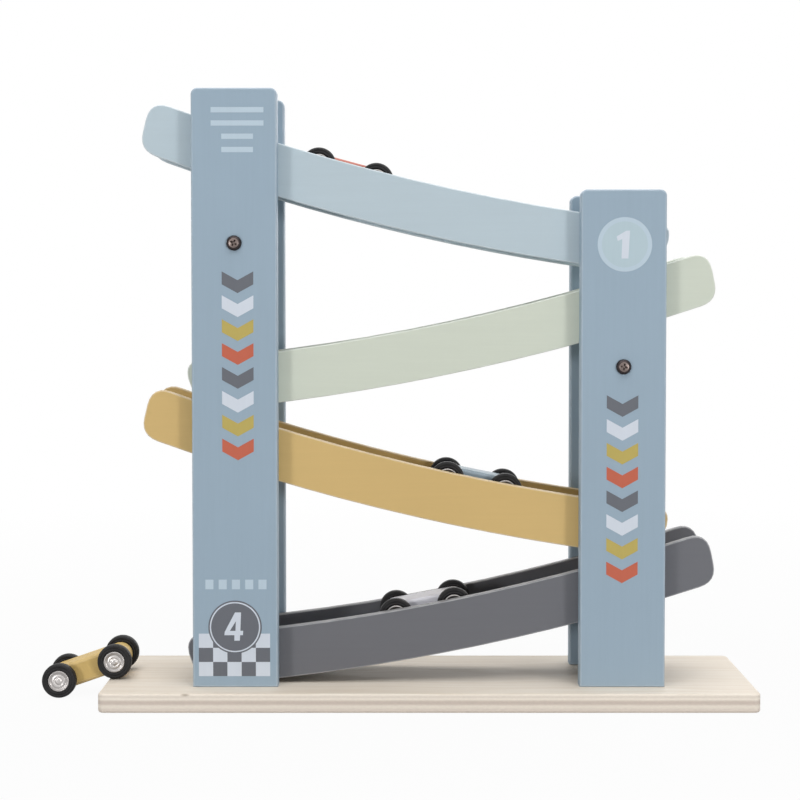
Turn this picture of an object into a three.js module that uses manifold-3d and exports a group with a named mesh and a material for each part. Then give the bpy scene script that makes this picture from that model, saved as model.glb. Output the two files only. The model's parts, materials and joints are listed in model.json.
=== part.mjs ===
// Wooden ramp racer: a plywood board, two pairs of posts, four curved tracks and four little cars.
// Millimetres, +Z up. The origin is the middle of the board's underside, +X to the right seen from
// the front and +Y to the back. The tracks run down to the right and to the left in turn, and a car
// that reaches the end of one drops through the gap in its floor onto the next.

import * as THREE from 'three';
import { mergeVertices } from 'three/addons/utils/BufferGeometryUtils.js';
import Module from 'manifold-3d';

const wasm = await Module();
wasm.setup();

// Clearances
const SEAT_GAP = 0.3; // under whatever rests on a sloping or trimmed surface
const HOLE_CLEARANCE = 0.3; // round a screw, in radius
const AXLE_CLEARANCE = 0.3; // round an axle in its car, in radius
const TYRE_CLEARANCE = 0.3; // between a hub and its tyre, in radius
const TRACK_CLEARANCE = 1; // between a track's low end and the next track
const CAR_SIDE_CLEARANCE = 1.75; // between a wheel and the side of the channel
const WHEEL_GAP = 0.5; // between a wheel and the body of its car

// Board
const BASE_LENGTH = 375;
const BASE_THICKNESS = 11;
const BASE_CORNER_RADIUS = 4;
const BASE_EDGE = 1;

// Posts, which stand on the board in pairs
const POST_SETBACK = 15.5; // from the board's long edges
const POST_WIDTH = 48.8;
const POST_THICKNESS = 10;
const POST_SPACING = 222;
const LEFT_POST_RISE = 50.5; // above the middle of track 1
const RIGHT_POST_RISE = 75.6; // above the middle of track 2
const POST_CORNER_RADIUS = 3.6;
const POST_EDGE = 0.8;

// Cars
const WHEEL_DIAMETER = 20;
const WHEEL_WIDTH = 6;
const WHEELBASE = 34.5;
const TYRE_SHOULDER = 1.2;
const HUB_DIAMETER = 12.4;
const HUB_BOSS_DIAMETER = 4.6;
const HUB_RIM = 1.3;
const HUB_DISH = 0.8;
const AXLE_DIAMETER = 2.5;
const CAR_BODY_WIDTH = 17.5;
const CAR_BODY_HEIGHT = 14;
const CAR_BODY_EDGE = 0.8;
const PARKED_INSET = 3.6; // from the board's left end to the parked car's rear axle

// Tracks: two curved side panels with a floor strip let in between them
const TRACK_LENGTH = 308.5; // along the chord
const TRACK_RADIUS = 1238; // of the panels' top edge
const TRACK_SHIFT = 12; // of the track's middle, uphill from the middle of the board
const PANEL_HEIGHT = 29.5;
const PANEL_THICKNESS = 5;
const HIGH_END_TOP_CORNER = 12;
const HIGH_END_LOWER_CORNER = 10.5;
const LOW_END_TOP_CORNER = 9.5;
const NOSE_LENGTH = 30; // of the rounded underside at the low end
const NOSE_HEIGHT = 19;
const FLOOR_DEPTH = 15; // below the panels' top edge
const FLOOR_THICKNESS = 4;
const FLOOR_INSET = 6; // from the panels' high end
const DROP_GAP = 48; // from the floor to the panels' low end
const RUN_OUT_INSET = 4; // the same on the last track, which has no drop gap
const STOP_THICKNESS = 6;
const STOP_HEIGHT = 12;
const STOP_INSET = 6; // from the panels' low end
const STOP_DEPTH = 4; // below the panels' top edge
const ODD_TILT = 13.4; // degrees
const TRACK_2_TILT = 12;
const TRACK_4_TILT = 11.4;
const TRACK_4_HEIGHT = 48.1; // from the board to the middle of the panels' top edge
const PITCH_3_TO_4 = 79.8;
const PITCH_2_TO_3 = 81.5;
const PITCH_1_TO_2 = 82.6;

// Rods across between the posts, and the screws
const ROD_DIAMETER = 12;
const LEFT_ROD_DROP = 34.5; // from track 1's underside
const RIGHT_ROD_DROP = 20; // from track 2's underside
const POST_SCREW_DIAMETER = 4;
const POST_SCREW_BITE = 14; // depth in the rod
const PAN_HEAD_DIAMETER = 8.8;
const PAN_HEAD_HEIGHT = 2.8;
const BASE_SCREW_DIAMETER = 3.8;
const BASE_SCREW_BITE = 18; // depth in the post
const COUNTERSUNK_DIAMETER = 7.2;
const COUNTERSUNK_HEIGHT = 2.4;
const COUNTERSUNK_RECESS = 0.4; // below the board's underside
const SCREW_POINT = 3;
const PILOT_SPARE = 1; // hole left beyond a screw's point

// Sizes that follow
const WHEEL_RADIUS = WHEEL_DIAMETER / 2;
const CAR_WIDTH = CAR_BODY_WIDTH + 2 * (WHEEL_GAP + WHEEL_WIDTH);
const CHANNEL_WIDTH = CAR_WIDTH + 2 * CAR_SIDE_CLEARANCE;
const PANEL_Y = (CHANNEL_WIDTH + PANEL_THICKNESS) / 2;
const POST_INNER_Y = CHANNEL_WIDTH / 2 + PANEL_THICKNESS;
const POST_Y = POST_INNER_Y + POST_THICKNESS / 2;
const POST_OUTER_Y = POST_INNER_Y + POST_THICKNESS;
const BASE_DEPTH = 2 * (POST_OUTER_Y + POST_SETBACK);
const BASE_SCREW_LENGTH = BASE_THICKNESS - COUNTERSUNK_RECESS + BASE_SCREW_BITE;
const HALF_TRACK = TRACK_LENGTH / 2;
const UNDERSIDE_RADIUS = TRACK_RADIUS + PANEL_HEIGHT;
const FLOOR_RADIUS = TRACK_RADIUS + FLOOR_DEPTH;
const AXLE_PATH_RADIUS = FLOOR_RADIUS - WHEEL_RADIUS - SEAT_GAP;
const TRACK_3_HEIGHT = TRACK_4_HEIGHT + PITCH_3_TO_4;
const TRACK_2_HEIGHT = TRACK_3_HEIGHT + PITCH_2_TO_3;
const TRACK_1_HEIGHT = TRACK_2_HEIGHT + PITCH_1_TO_2;
const LEFT_POST_HEIGHT = TRACK_1_HEIGHT + LEFT_POST_RISE;
const RIGHT_POST_HEIGHT = TRACK_2_HEIGHT + RIGHT_POST_RISE;

const SIDES = [{ name: 'front', y: -1 }, { name: 'back', y: 1 }];

// The pieces that repeat; along is a car's distance downhill from the middle of its track
const TRACKS = [
  {
    name: 'track_1', height: TRACK_1_HEIGHT, tilt: ODD_TILT, downTo: 1,
    gap: DROP_GAP, colour: 0xb4c3cb,
  },
  {
    name: 'track_2', height: TRACK_2_HEIGHT, tilt: TRACK_2_TILT, downTo: -1,
    gap: DROP_GAP, colour: 0xcbd1c4,
  },
  {
    name: 'track_3', height: TRACK_3_HEIGHT, tilt: ODD_TILT, downTo: 1,
    gap: DROP_GAP, colour: 0xccb27d,
  },
  {
    name: 'track_4', height: TRACK_4_HEIGHT, tilt: TRACK_4_TILT, downTo: -1,
    gap: RUN_OUT_INSET, colour: 0x717479,
  },
];
const POSTS = [
  { name: 'left', x: -POST_SPACING / 2, height: LEFT_POST_HEIGHT, under: TRACKS[0], drop: LEFT_ROD_DROP },
  { name: 'right', x: POST_SPACING / 2, height: RIGHT_POST_HEIGHT, under: TRACKS[1], drop: RIGHT_ROD_DROP },
];
const TRACK_CARS = [
  { name: 'red_car', track: TRACKS[0], along: -35, colour: 0xb56e5f },
  { name: 'blue_car', track: TRACKS[2], along: 42, colour: 0xb9c6cd },
  { name: 'grey_car', track: TRACKS[3], along: 15, colour: 0xd2d2d7 },
];
const PARKED_CAR = { name: 'mustard_car', colour: 0xc4a564 };

// Finishes
function finish(color, roughness, metalness = 0) {
  return new THREE.MeshStandardMaterial({ color, roughness, metalness });
}
const plywood = () => finish(0xe0d4c5, 0.7);
const postPaint = () => finish(0x98abba, 0.55);
const paint = (colour) => finish(colour, 0.5);
const bareWood = () => finish(0xd8c19c, 0.7);
const bronzedSteel = () => finish(0x4d443c, 0.4, 1);
const zincSteel = () => finish(0xb5b6b8, 0.35, 1);
const silver = () => finish(0xbeb9b7, 0.35, 0.9);
const rubber = () => finish(0x232120, 0.65);

// Cuts
function toSolid(geometry) {
  const bare = geometry.clone();
  bare.deleteAttribute('normal');
  bare.deleteAttribute('uv');
  const merged = mergeVertices(bare);
  return new wasm.Manifold(new wasm.Mesh({
    numProp: 3,
    vertProperties: new Float32Array(merged.attributes.position.array),
    triVerts: new Uint32Array(merged.index.array),
  }));
}

function cut(geometry, cutters) {
  let solid = toSolid(geometry);
  for (const cutter of cutters) solid = solid.subtract(toSolid(cutter));
  const { vertProperties, triVerts } = solid.getMesh();
  const result = new THREE.BufferGeometry();
  result.setAttribute('position', new THREE.BufferAttribute(vertProperties, 3));
  result.setIndex(new THREE.BufferAttribute(triVerts, 1));
  return result;
}

function addPiece(parent, name, geometry, material) {
  const piece = new THREE.Mesh(geometry, material);
  piece.name = name;
  parent.add(piece);
  return piece;
}

// Sheet pieces: an outline extruded with eased edges
function sheet(outline, thickness, edge, curveSegments) {
  const geometry = new THREE.ExtrudeGeometry(outline, {
    depth: thickness - 2 * edge,
    bevelEnabled: edge > 0,
    bevelThickness: edge,
    bevelSize: edge,
    bevelOffset: -edge,
    bevelSegments: 1,
    curveSegments,
  });
  return geometry.translate(0, 0, edge - thickness / 2);
}

// The same standing up, with the outline in X and Z and the thickness shared about Y = 0
function standingSheet(outline, thickness, edge, curveSegments) {
  return sheet(outline, thickness, edge, curveSegments).rotateX(Math.PI / 2);
}

// Turned pieces, from [radius, y] points up the Y axis
function turned(profile, segments) {
  return new THREE.LatheGeometry(profile.map(([radius, y]) => new THREE.Vector2(radius, y)), segments);
}

function rod(radius, length, segments) {
  return turned([[0, -length / 2], [radius, -length / 2], [radius, length / 2], [0, length / 2]], segments);
}

// Screws point along +Y with the underside of a pan head, or the face of a countersunk one, at Y = 0
function screwHole(diameter, length) {
  const radius = diameter / 2 + HOLE_CLEARANCE;
  return rod(radius, 2 * (length + PILOT_SPARE), 12);
}

function panHeadScrew() {
  const head = PAN_HEAD_DIAMETER / 2;
  const shank = POST_SCREW_DIAMETER / 2;
  const length = POST_THICKNESS + POST_SCREW_BITE;
  return turned([
    [0, -PAN_HEAD_HEIGHT],
    [head * 0.6, -PAN_HEAD_HEIGHT * 0.92],
    [head * 0.92, -PAN_HEAD_HEIGHT * 0.5],
    [head, 0],
    [shank, 0],
    [shank, length - SCREW_POINT],
    [0, length],
  ], 16);
}

function countersunkScrew() {
  const shank = BASE_SCREW_DIAMETER / 2;
  return turned([
    [0, 0],
    [COUNTERSUNK_DIAMETER / 2, 0],
    [shank, COUNTERSUNK_HEIGHT],
    [shank, BASE_SCREW_LENGTH - SCREW_POINT],
    [0, BASE_SCREW_LENGTH],
  ], 12);
}

function countersunkHole() {
  const head = COUNTERSUNK_DIAMETER / 2 + HOLE_CLEARANCE;
  const shank = BASE_SCREW_DIAMETER / 2 + HOLE_CLEARANCE;
  return turned([
    [0, -2 * COUNTERSUNK_RECESS],
    [head, -2 * COUNTERSUNK_RECESS],
    [head, 0],
    [shank, COUNTERSUNK_HEIGHT],
    [shank, BASE_SCREW_LENGTH + PILOT_SPARE],
    [0, BASE_SCREW_LENGTH + PILOT_SPARE],
  ], 12);
}

function placeBaseScrew(geometry, post, side) {
  return geometry.rotateX(Math.PI / 2).translate(post.x, side.y * POST_Y, COUNTERSUNK_RECESS);
}

// Board
function baseBoard() {
  const x = BASE_LENGTH / 2 - BASE_CORNER_RADIUS;
  const y = BASE_DEPTH / 2 - BASE_CORNER_RADIUS;
  const right = Math.PI / 2;
  const outline = new THREE.Shape();
  outline.absarc(x, y, BASE_CORNER_RADIUS, 0, right);
  outline.absarc(-x, y, BASE_CORNER_RADIUS, right, 2 * right);
  outline.absarc(-x, -y, BASE_CORNER_RADIUS, 2 * right, 3 * right);
  outline.absarc(x, -y, BASE_CORNER_RADIUS, 3 * right, 4 * right);
  const plain = sheet(outline, BASE_THICKNESS, BASE_EDGE, 2).translate(0, 0, BASE_THICKNESS / 2);
  const holes = POSTS.flatMap((post) => SIDES.map((side) => placeBaseScrew(countersunkHole(), post, side)));
  return cut(plain, holes);
}

// Posts and the rods between them
function rodHeight({ x, under, drop }) {
  const tilt = THREE.MathUtils.degToRad(under.tilt);
  const centreX = under.downTo * (TRACK_RADIUS * Math.sin(tilt) - TRACK_SHIFT);
  const centreZ = BASE_THICKNESS + under.height + TRACK_RADIUS * Math.cos(tilt);
  return centreZ - Math.sqrt(UNDERSIDE_RADIUS ** 2 - (x - centreX) ** 2) - drop;
}

function postBoard(post, side) {
  const half = POST_WIDTH / 2;
  const inner = half - POST_CORNER_RADIUS;
  const outline = new THREE.Shape();
  outline.moveTo(-half, 0);
  outline.lineTo(half, 0);
  outline.absarc(inner, post.height - POST_CORNER_RADIUS, POST_CORNER_RADIUS, 0, Math.PI / 2);
  outline.absarc(-inner, post.height - POST_CORNER_RADIUS, POST_CORNER_RADIUS, Math.PI / 2, Math.PI);
  const plain = standingSheet(outline, POST_THICKNESS, POST_EDGE, 3)
    .translate(post.x, side.y * POST_Y, BASE_THICKNESS);
  const rodHole = screwHole(POST_SCREW_DIAMETER, POST_THICKNESS)
    .translate(post.x, side.y * POST_Y, rodHeight(post));
  return cut(plain, [rodHole, placeBaseScrew(countersunkHole(), post, side)]);
}

function crossRod(post) {
  const plain = rod(ROD_DIAMETER / 2, 2 * POST_INNER_Y, 20);
  const holes = SIDES.map((side) => (
    screwHole(POST_SCREW_DIAMETER, POST_SCREW_BITE).translate(0, side.y * POST_INNER_Y, 0)));
  return cut(plain, holes).translate(post.x, 0, rodHeight(post));
}

function addPosts(parent) {
  for (const post of POSTS) {
    addPiece(parent, `cross_rod_${post.name}`, crossRod(post), bareWood());
    for (const side of SIDES) {
      const place = `${side.name}_${post.name}`;
      addPiece(parent, `post_${place}`, postBoard(post, side), postPaint());
      const screw = addPiece(parent, `post_screw_${place}`, panHeadScrew(), bronzedSteel());
      screw.position.set(post.x, side.y * (POST_OUTER_Y + SEAT_GAP), rodHeight(post));
      screw.rotation.z = side.y > 0 ? Math.PI : 0;
      addPiece(parent, `base_screw_${place}`, placeBaseScrew(countersunkScrew(), post, side), zincSteel());
    }
  }
}

// Tracks. In a track's own frame X runs downhill along the chord, and the origin is the middle of the
// panels' top edge, so that every arc of the track has its centre at X = 0, Z = TRACK_RADIUS.
function arcHeight(x, radius) {
  return TRACK_RADIUS - Math.sqrt(radius ** 2 - x ** 2);
}

function addArc(outline, radius, fromX, toX) {
  const from = Math.asin(fromX / radius) - Math.PI / 2;
  const to = Math.asin(toX / radius) - Math.PI / 2;
  outline.absarc(0, TRACK_RADIUS, radius, from, to, toX < fromX);
}

function panelOutline() {
  const top = arcHeight(HALF_TRACK, TRACK_RADIUS);
  const bottom = arcHeight(HALF_TRACK, UNDERSIDE_RADIUS);
  const underFrom = HIGH_END_LOWER_CORNER - HALF_TRACK;
  const topFrom = HALF_TRACK - LOW_END_TOP_CORNER;
  const outline = new THREE.Shape();
  addArc(outline, UNDERSIDE_RADIUS, underFrom, HALF_TRACK - NOSE_LENGTH);
  outline.quadraticCurveTo(HALF_TRACK, bottom, HALF_TRACK, bottom + NOSE_HEIGHT);
  outline.lineTo(HALF_TRACK, top - LOW_END_TOP_CORNER);
  outline.quadraticCurveTo(HALF_TRACK, top, topFrom, arcHeight(topFrom, TRACK_RADIUS));
  addArc(outline, TRACK_RADIUS, topFrom, HIGH_END_TOP_CORNER - HALF_TRACK);
  outline.quadraticCurveTo(-HALF_TRACK, top, -HALF_TRACK, top - HIGH_END_TOP_CORNER);
  outline.lineTo(-HALF_TRACK, bottom + HIGH_END_LOWER_CORNER);
  outline.quadraticCurveTo(-HALF_TRACK, bottom, underFrom, arcHeight(underFrom, UNDERSIDE_RADIUS));
  return outline;
}

function arcStrip(topRadius, bottomRadius, fromX, toX, width) {
  const outline = new THREE.Shape();
  addArc(outline, bottomRadius, fromX, toX);
  addArc(outline, topRadius, toX, fromX);
  return standingSheet(outline, width, 0, 6);
}

function trackFrame(track) {
  const frame = new THREE.Group();
  frame.position.set(-track.downTo * TRACK_SHIFT, 0, BASE_THICKNESS + track.height);
  frame.rotation.set(0, THREE.MathUtils.degToRad(track.tilt), track.downTo < 0 ? Math.PI : 0, 'ZYX');
  frame.updateMatrix();
  return frame;
}

// The space a track's low end keeps clear of: the next track's panels, or the board under the last one
function spaceBelow(frame, nextFrame) {
  const panelSpace = nextFrame && arcStrip(
    TRACK_RADIUS - TRACK_CLEARANCE,
    UNDERSIDE_RADIUS,
    -HALF_TRACK - TRACK_CLEARANCE,
    0,
    2 * POST_OUTER_Y,
  ).applyMatrix4(nextFrame.matrix);
  const boardSpace = new THREE.BoxGeometry(BASE_LENGTH, BASE_DEPTH, 2 * (BASE_THICKNESS + SEAT_GAP));
  return (panelSpace ?? boardSpace).applyMatrix4(frame.matrix.clone().invert());
}

function endStop() {
  const middle = HALF_TRACK - STOP_INSET - STOP_THICKNESS / 2;
  const top = arcHeight(middle, TRACK_RADIUS) - STOP_DEPTH;
  return new THREE.BoxGeometry(STOP_THICKNESS, CHANNEL_WIDTH, STOP_HEIGHT)
    .translate(middle, 0, top - STOP_HEIGHT / 2);
}

function addTrack(track, frame, nextFrame) {
  const plain = standingSheet(panelOutline(), PANEL_THICKNESS, 0, 6);
  const panel = cut(plain, [spaceBelow(frame, nextFrame)]);
  for (const side of SIDES) {
    const piece = addPiece(frame, `${track.name}_${side.name}_panel`, panel, paint(track.colour));
    piece.position.y = side.y * track.downTo * PANEL_Y;
  }
  const floorEnd = HALF_TRACK - track.gap;
  const floor = arcStrip(
    FLOOR_RADIUS,
    FLOOR_RADIUS + FLOOR_THICKNESS,
    FLOOR_INSET - HALF_TRACK,
    floorEnd,
    CHANNEL_WIDTH,
  );
  addPiece(frame, `${track.name}_floor`, floor, paint(track.colour));
  if (nextFrame) addPiece(frame, `${track.name}_end_stop`, endStop(), paint(track.colour));
}

// Cars. X runs forward and Y to the left, and the origin is midway between the axles.
function carBody() {
  const radius = CAR_BODY_HEIGHT / 2;
  const half = WHEELBASE / 2;
  const outline = new THREE.Shape();
  outline.absarc(half, 0, radius, -Math.PI / 2, Math.PI / 2);
  outline.absarc(-half, 0, radius, Math.PI / 2, Math.PI * 1.5);
  const bores = [half, -half].map((x) => (
    rod(AXLE_DIAMETER / 2 + AXLE_CLEARANCE, 2 * CAR_BODY_WIDTH, 12).translate(x, 0, 0)));
  return cut(standingSheet(outline, CAR_BODY_WIDTH, CAR_BODY_EDGE, 5), bores);
}

// An axle with a dished hub on each end
function axleWithHubs() {
  const face = CAR_WIDTH / 2;
  const dish = face - HUB_DISH;
  const back = face - WHEEL_WIDTH;
  const boss = HUB_BOSS_DIAMETER / 2;
  const rim = HUB_DIAMETER / 2;
  const axle = AXLE_DIAMETER / 2;
  const leftHalf = [
    [axle, back],
    [rim, back],
    [rim, face],
    [rim - HUB_RIM, face],
    [rim - HUB_RIM, dish],
    [boss, dish],
    [boss, face],
    [0, face],
  ];
  const rightHalf = leftHalf.map(([radius, y]) => [radius, -y]).reverse();
  return turned([...rightHalf, ...leftHalf], 16);
}

function tyre() {
  const bore = HUB_DIAMETER / 2 + TYRE_CLEARANCE;
  const half = WHEEL_WIDTH / 2;
  return turned([
    [bore, -half],
    [WHEEL_RADIUS - TYRE_SHOULDER, -half],
    [WHEEL_RADIUS, TYRE_SHOULDER - half],
    [WHEEL_RADIUS, half - TYRE_SHOULDER],
    [WHEEL_RADIUS - TYRE_SHOULDER, half],
    [bore, half],
    [bore, -half],
  ], 20);
}

function makeCar({ name, colour }) {
  const car = new THREE.Group();
  addPiece(car, `${name}_body`, carBody(), paint(colour));
  for (const [end, x] of [['front', WHEELBASE / 2], ['rear', -WHEELBASE / 2]]) {
    const wheelset = new THREE.Group();
    wheelset.position.x = x;
    addPiece(wheelset, `${name}_${end}_axle`, axleWithHubs(), silver());
    for (const [hand, y] of [['left', 1], ['right', -1]]) {
      const wheel = addPiece(wheelset, `${name}_${end}_${hand}_tyre`, tyre(), rubber());
      wheel.position.y = (y * (CAR_WIDTH - WHEEL_WIDTH)) / 2;
    }
    car.add(wheelset);
  }
  return car;
}

// A car on a track turns about the centre of the track's arcs
function carOnTrack(spec) {
  const pivot = new THREE.Group();
  pivot.position.z = TRACK_RADIUS;
  pivot.rotation.y = -spec.along / AXLE_PATH_RADIUS;
  const car = makeCar(spec);
  car.position.z = -Math.sqrt(AXLE_PATH_RADIUS ** 2 - (WHEELBASE / 2) ** 2);
  pivot.add(car);
  return pivot;
}

// The parked car has run off the last track: its front wheels are on the table, its rear ones on the board
function parkedCar(spec) {
  const car = makeCar(spec);
  const tilt = Math.asin((BASE_THICKNESS + SEAT_GAP) / WHEELBASE);
  const middle = (BASE_THICKNESS + SEAT_GAP) / 2 + WHEEL_RADIUS;
  car.position.set(PARKED_INSET - (BASE_LENGTH + WHEELBASE * Math.cos(tilt)) / 2, 0, middle);
  car.rotation.set(0, tilt, Math.PI, 'ZYX');
  return car;
}

const racer = new THREE.Group();
addPiece(racer, 'base_board', baseBoard(), plywood());
addPosts(racer);
const frames = TRACKS.map(trackFrame);
TRACKS.forEach((track, i) => addTrack(track, frames[i], frames[i + 1]));
for (const spec of TRACK_CARS) frames[TRACKS.indexOf(spec.track)].add(carOnTrack(spec));
racer.add(...frames, parkedCar(PARKED_CAR));

export default racer;
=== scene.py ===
"""Wooden ramp racer: finishes for the board, posts, tracks and cars, with a plain studio round them."""

import json
import math

import bmesh
import bpy
from bpy.props import FloatProperty, FloatVectorProperty, PointerProperty
from mathutils import Matrix, Vector


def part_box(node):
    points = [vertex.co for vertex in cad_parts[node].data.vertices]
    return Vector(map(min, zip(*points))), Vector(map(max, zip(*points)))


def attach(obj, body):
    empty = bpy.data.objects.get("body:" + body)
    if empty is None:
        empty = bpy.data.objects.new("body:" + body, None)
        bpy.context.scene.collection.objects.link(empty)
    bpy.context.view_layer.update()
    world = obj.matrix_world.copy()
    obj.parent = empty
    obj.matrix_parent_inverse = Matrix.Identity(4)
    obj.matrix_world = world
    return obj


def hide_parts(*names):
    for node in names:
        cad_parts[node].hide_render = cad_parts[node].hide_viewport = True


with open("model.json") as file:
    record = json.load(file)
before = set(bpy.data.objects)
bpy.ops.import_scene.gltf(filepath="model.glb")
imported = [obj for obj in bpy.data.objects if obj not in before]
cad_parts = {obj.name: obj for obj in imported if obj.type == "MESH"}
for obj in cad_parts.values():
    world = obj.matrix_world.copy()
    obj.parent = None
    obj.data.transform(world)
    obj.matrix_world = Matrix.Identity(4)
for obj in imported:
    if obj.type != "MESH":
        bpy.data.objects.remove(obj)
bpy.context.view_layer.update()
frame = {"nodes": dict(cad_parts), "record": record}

bl_info = {
    "name": "Wooden Ramp Racer",
    "version": (1, 0, 0),
    "blender": (4, 5, 0),
    "location": "View3D > Sidebar > Ramp Racer",
    "description": "Dresses a wooden ramp racer with its paints, prints, wheels and screws",
    "category": "Object",
}

MM = 0.001
NODES = frame["nodes"]
BODY_OF = {
    node: body
    for body, nodes in frame["record"]["behaviour"]["bodies"].items()
    for node in nodes
}
ROOT_BODY = BODY_OF["base_board"]
TRACK_NAMES = ("track_1", "track_2", "track_3", "track_4")
CAR_NAMES = ("red_car", "blue_car", "grey_car", "mustard_car")

# Shapes of the pieces, in metres unless the line says millimetres

BOARD_CORNER = 4 * MM
POST_CORNER = 3.6 * MM
CAR_END_RADIUS = 7 * MM
ROD_EASE = 0.5 * MM
SCREW_SHANK = 1.9 * MM
SCREW_TURNS = {"left": 0.5, "right": 0.2}
TOOL_RINGS = 5200.0

PAN_HEAD_RADIUS = 4.4 * MM
PAN_HEAD_HEIGHT = 2.7 * MM
PAN_SHANK_LENGTH = 22 * MM
PAN_POINT = 2 * MM
# Beyond this radius the pan heads take a painted dark rim, standing in for the dimmer reflection round the
# dome's edge
PAN_RIM = 0.68 * PAN_HEAD_RADIUS
PAN_HEAD = (  # shares of the head's radius and height
    (0, 1), (0.35, 0.985), (0.62, 0.9), (0.82, 0.72), (0.95, 0.42), (1, 0.12), (0.985, 0))

SUNK_HEAD_RADIUS = 3.6 * MM
SUNK_HEAD_DEPTH = 2.4 * MM
SUNK_RIM = 0.12 * MM
SUNK_POINT = 3 * MM

HUB_FACE = (  # radius and distance from the car's middle, millimetres
    (0, 15.0), (0.9, 15.05), (1.5, 14.95), (1.75, 14.55), (2.3, 14.45), (2.6, 14.75), (3.4, 14.8),
    (3.8, 14.5), (4.4, 14.45), (4.8, 14.75), (5.5, 15.1), (6.0, 15.0), (6.3, 14.5))
HUB_BACK = ((6.3, 9.45), (6.1, 9.25), (1.25, 9.25))
HUB_RIM = 3.9 * MM
HUB_RINGS = 9000.0
TYRE_WALL = (  # radius and distance from the tyre's middle, millimetres
    (6.3, 2.55), (6.9, 2.9), (7.6, 3.0), (7.85, 2.7), (8.1, 2.7), (8.35, 2.97), (9.05, 2.9), (9.6, 2.5),
    (9.88, 1.9), (10.0, 1.2))
TYRE_TREAD = (10.0, 0.0)

# The plywood board's edge and its knot

PLIES = (  # share of the thickness, and how light the ply is there
    (0.0, 0.88), (0.12, 0.91), (0.22, 0.94), (0.36, 1.02), (0.43, 0.96), (0.5, 0.84),
    (0.6, 0.83), (0.68, 0.94), (0.75, 1.08), (0.86, 0.95), (0.93, 0.98))
KNOT_PLACE = (-0.1378, -0.0472, 0.0104)
KNOT_STRETCH = (330.0, 900.0, 900.0)
KNOT_COLOUR = (0.17, 0.11, 0.06, 1.0)

# Prints on the front posts, x and z in millimetres

LEFT_CHEVRONS = (-109.05, 249.4)
RIGHT_CHEVRONS = (110.5, 178.8)
CHEVRON_COUNT = 8
CHEQUER_CORNER = (-131.9, 41.9)
CHEQUER_ROWS, CHEQUER_COLUMNS = 3, 5
LOWER_DISC = (-111.1, 45.7)
LOWER_RING_OUT, LOWER_RING_IN = 0.85, 1.6
UPPER_DISC = (111.4, 264.7)
UPPER_RING_OUT, UPPER_RING_IN = 0.2, 2.2
FOUR = (
    (0, 8.47), (3.45, 8.47), (3.07, -2.13), (4.68, -2.13), (4.49, -4.64), (2.89, -4.64), (2.7, -7.8),
    (-0.43, -7.8), (-0.33, -4.64), (-6.1, -4.64), (-5.9, -2.74))
FOUR_COUNTER = ((0.5, 3.4), (0.24, -2.13), (-2.93, -2.13))
ONE = (
    (0.82, 7.8), (2.9, 7.8), (2.0, -8.0), (-1.9, -8.0), (-1.53, 3.06), (-4.1, 1.97), (-4.75, 4.53))
STRIPES_X = -109
STRIPE_HEIGHT = 3
STRIPES = ((15, 342.5), (15, 335), (9, 327.5), (9, 320))  # half length, top
DASHES_X = (-128, -120.4, -112.8, -105.2, -97.6)
DASH_LENGTH = 4.6
DASH_TOP, DASH_BOTTOM = 73, 67.5

# Studio

WHITE = (1.0, 1.0, 1.0, 1.0)
FLOOR_COLOUR = (0.55, 0.55, 0.55, 1.0)
FLOOR_HALF_SIZE = 6.0
FLOOR_DROP = 0.0002
FILL_STRENGTH = 0.15
LAMPS = (  # name, place, what it faces, width and height, watts
    ("Overhead softbox", (0.05, -0.25, 1.5), (0.05, -0.25, 0.0), (2.0, 2.2), 34),
    ("Left softbox", (-1.5, -1.75, 0.25), (0.0, 0.0, 0.15), (0.4, 0.35), 12),
    ("Right softbox", (1.5, -1.75, 0.25), (0.0, 0.0, 0.15), (0.4, 0.35), 14),
    ("Back softbox", (0.5, 2.1, 0.6), (0.0, 0.0, 0.15), (1.6, 0.6), 7))
CAMERA_PLACE = (-0.01425, -0.9001, 0.2319)
CAMERA_DIP = 0.031
CAMERA_SENSOR = 36
CAMERA_LENS = 68.56
CAMERA_SHIFT = (-0.005, -0.0633)


def linear(red, green, blue):
    """A colour as it is seen, in 0 to 255, as linear light."""
    def one(value):
        value /= 255
        return value / 12.92 if value <= 0.04045 else ((value + 0.055) / 1.055) ** 2.4
    return one(red), one(green), one(blue)


# Settings


def colour(name, description, red, green, blue):
    return FloatVectorProperty(
        name=name, description=description, subtype="COLOR", size=3, min=0, max=1,
        default=linear(red, green, blue))


def length(name, description, millimetres):
    return FloatProperty(
        name=name, description=description, subtype="DISTANCE", unit="LENGTH", min=0,
        precision=5, default=millimetres * MM)


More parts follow.
